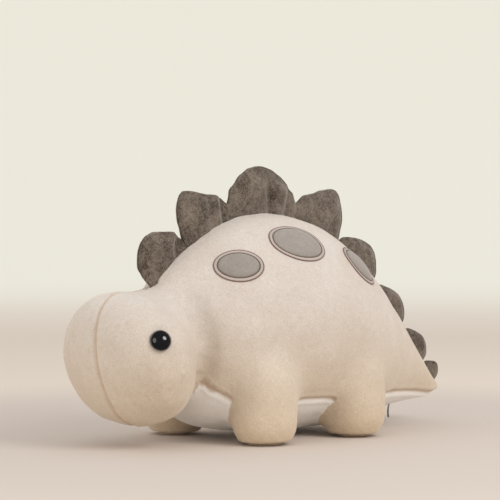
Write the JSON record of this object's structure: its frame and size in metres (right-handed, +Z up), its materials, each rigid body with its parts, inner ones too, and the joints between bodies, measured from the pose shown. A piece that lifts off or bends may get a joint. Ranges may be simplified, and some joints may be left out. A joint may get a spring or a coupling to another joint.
{
  "type": "stuffed dinosaur",
  "caption": "Soft stuffed plate-backed dinosaur standing on short legs, with a broad round head, tapering tail and a row of padded plates along its spine.",
  "frame": {"origin": "on the floor, under the middle of the bounding box", "axes": "+Z up, the head points along -Y, +X is the animal's left side"},
  "size_m": [0.1368, 0.3234, 0.1832],
  "materials": {
    "plush": "short-pile plush, warm beige",
    "cream_plush": "short-pile plush, cream",
    "plate_plush": "longer minky plush with a mottled nap, taupe",
    "spot_plush": "applique minky, grey taupe",
    "thread": "satin-stitched embroidery thread, mauve brown",
    "stuffing": "loose white polyester fibre",
    "eye_plastic": "glossy black dome",
    "washer_plastic": "matt white",
    "tag_cloth": "blank woven satin tag, dark grey"
  },
  "bodies": {
    "torso": {"torso_left_panel": "plush", "torso_right_panel": "plush", "belly_panel": "cream_plush", "torso_stuffing": "stuffing", "spot_front_left": "spot_plush", "spot_border_front_left": "thread", "spot_front_right": "spot_plush", "spot_border_front_right": "thread", "spot_middle_left": "spot_plush", "spot_border_middle_left": "thread", "spot_middle_right": "spot_plush", "spot_border_middle_right": "thread", "spot_rear_left": "spot_plush", "spot_border_rear_left": "thread", "spot_rear_right": "spot_plush", "spot_border_rear_right": "thread"},
    "neck": {"neck_stuffing": "stuffing"},
    "head": {"head_left_panel": "plush", "head_right_panel": "plush", "head_stuffing": "stuffing", "eye_left": "eye_plastic", "eye_right": "eye_plastic", "eye_washer_left": "washer_plastic", "eye_washer_right": "washer_plastic"},
    "tail": {"tail_left_panel": "plush", "tail_right_panel": "plush", "tail_underside": "cream_plush", "tail_stuffing": "stuffing"},
    "leg_front_left": {"leg_front_left_sleeve": "plush", "leg_front_left_sole": "plush", "leg_front_left_stuffing": "stuffing"},
    "leg_front_right": {"leg_front_right_sleeve": "plush", "leg_front_right_sole": "plush", "leg_front_right_stuffing": "stuffing"},
    "leg_rear_left": {"leg_rear_left_sleeve": "plush", "leg_rear_left_sole": "plush", "leg_rear_left_stuffing": "stuffing"},
    "leg_rear_right": {"leg_rear_right_sleeve": "plush", "leg_rear_right_sole": "plush", "leg_rear_right_stuffing": "stuffing"},
    "plate_1": {"plate_1_cover": "plate_plush", "plate_1_fill": "stuffing"},
    "plate_2": {"plate_2_cover": "plate_plush", "plate_2_fill": "stuffing"},
    "plate_3": {"plate_3_cover": "plate_plush", "plate_3_fill": "stuffing"},
    "plate_4": {"plate_4_cover": "plate_plush", "plate_4_fill": "stuffing"},
    "plate_5": {"plate_5_cover": "plate_plush", "plate_5_fill": "stuffing"},
    "plate_6": {"plate_6_cover": "plate_plush", "plate_6_fill": "stuffing"},
    "plate_7": {"plate_7_cover": "plate_plush", "plate_7_fill": "stuffing"},
    "plate_8": {"plate_8_cover": "plate_plush", "plate_8_fill": "stuffing"},
    "tag": {"tag": "tag_cloth"}
  },
  "joints": [
    {"name": "neck_turn", "type": "hinge", "parent": "torso", "child": "neck", "pos_m": [0, -0.11461, 0.062], "axis": [0, 0, 1], "range_deg": [-25, 12], "stiffness_Nm_per_rad": 0.4},
    {"name": "neck_nod", "type": "hinge", "parent": "neck", "child": "head", "pos_m": [0, -0.11461, 0.062], "axis": [1, 0, 0], "range_deg": [-10, 8], "stiffness_Nm_per_rad": 0.4},
    {"name": "tail_swing", "type": "hinge", "parent": "torso", "child": "tail", "pos_m": [0, 0.09739, 0.0506], "axis": [0, 0, 1], "range_deg": [-18, 18], "stiffness_Nm_per_rad": 0.2},
    {"name": "hip_front_left", "type": "hinge", "parent": "torso", "child": "leg_front_left", "pos_m": [0.046, -0.05461, 0.036], "axis": [1, 0, 0], "range_deg": [-10, 10], "stiffness_Nm_per_rad": 1.5},
    {"name": "hip_front_right", "type": "hinge", "parent": "torso", "child": "leg_front_right", "pos_m": [-0.046, -0.05461, 0.036], "axis": [1, 0, 0], "range_deg": [-10, 10], "stiffness_Nm_per_rad": 1.5},
    {"name": "hip_rear_left", "type": "hinge", "parent": "torso", "child": "leg_rear_left", "pos_m": [0.046, 0.02539, 0.036], "axis": [1, 0, 0], "range_deg": [-10, 10], "stiffness_Nm_per_rad": 1.5},
    {"name": "hip_rear_right", "type": "hinge", "parent": "torso", "child": "leg_rear_right", "pos_m": [-0.046, 0.02539, 0.036], "axis": [1, 0, 0], "range_deg": [-10, 10], "stiffness_Nm_per_rad": 1.5},
    {"name": "plate_1_flop", "type": "hinge", "parent": "torso", "child": "plate_1", "pos_m": [0, -0.09977, 0.11624], "axis": [0, 0.7714, 0.6363], "range_deg": [-25, 25], "stiffness_Nm_per_rad": 0.03},
    {"name": "plate_2_flop", "type": "hinge", "parent": "torso", "child": "plate_2", "pos_m": [0, -0.06457, 0.14016], "axis": [0, 0.892, 0.4521], "range_deg": [-25, 25], "stiffness_Nm_per_rad": 0.03},
    {"name": "plate_3_flop", "type": "hinge", "parent": "torso", "child": "plate_3", "pos_m": [0, -0.01615, 0.15271], "axis": [0, 1, 0.0076], "range_deg": [-25, 25], "stiffness_Nm_per_rad": 0.03},
    {"name": "plate_4_flop", "type": "hinge", "parent": "torso", "child": "plate_4", "pos_m": [0, 0.03332, 0.14085], "axis": [0, 0.8998, -0.4362], "range_deg": [-25, 25], "stiffness_Nm_per_rad": 0.03},
    {"name": "plate_5_flop", "type": "hinge", "parent": "torso", "child": "plate_5", "pos_m": [0, 0.07156, 0.11488], "axis": [0, 0.767, -0.6417], "range_deg": [-25, 25], "stiffness_Nm_per_rad": 0.03},
    {"name": "plate_6_flop", "type": "hinge", "parent": "tail", "child": "plate_6", "pos_m": [0, 0.10492, 0.08352], "axis": [0, 0.7011, -0.713], "range_deg": [-25, 25], "stiffness_Nm_per_rad": 0.03},
    {"name": "plate_7_flop", "type": "hinge", "parent": "tail", "child": "plate_7", "pos_m": [0, 0.13269, 0.0545], "axis": [0, 0.6962, -0.7178], "range_deg": [-25, 25], "stiffness_Nm_per_rad": 0.03},
    {"name": "plate_8_flop", "type": "hinge", "parent": "tail", "child": "plate_8", "pos_m": [0, 0.15157, 0.03603], "axis": [0, 0.7468, -0.6651], "range_deg": [-25, 25], "stiffness_Nm_per_rad": 0.03},
    {"name": "tag_flap", "type": "hinge", "parent": "tail", "child": "tag", "pos_m": [0.004, 0.1044, 0.01309], "axis": [0.7431, -0.6691, 0], "range_deg": [-20, 20], "stiffness_Nm_per_rad": 0.001}
  ]
}
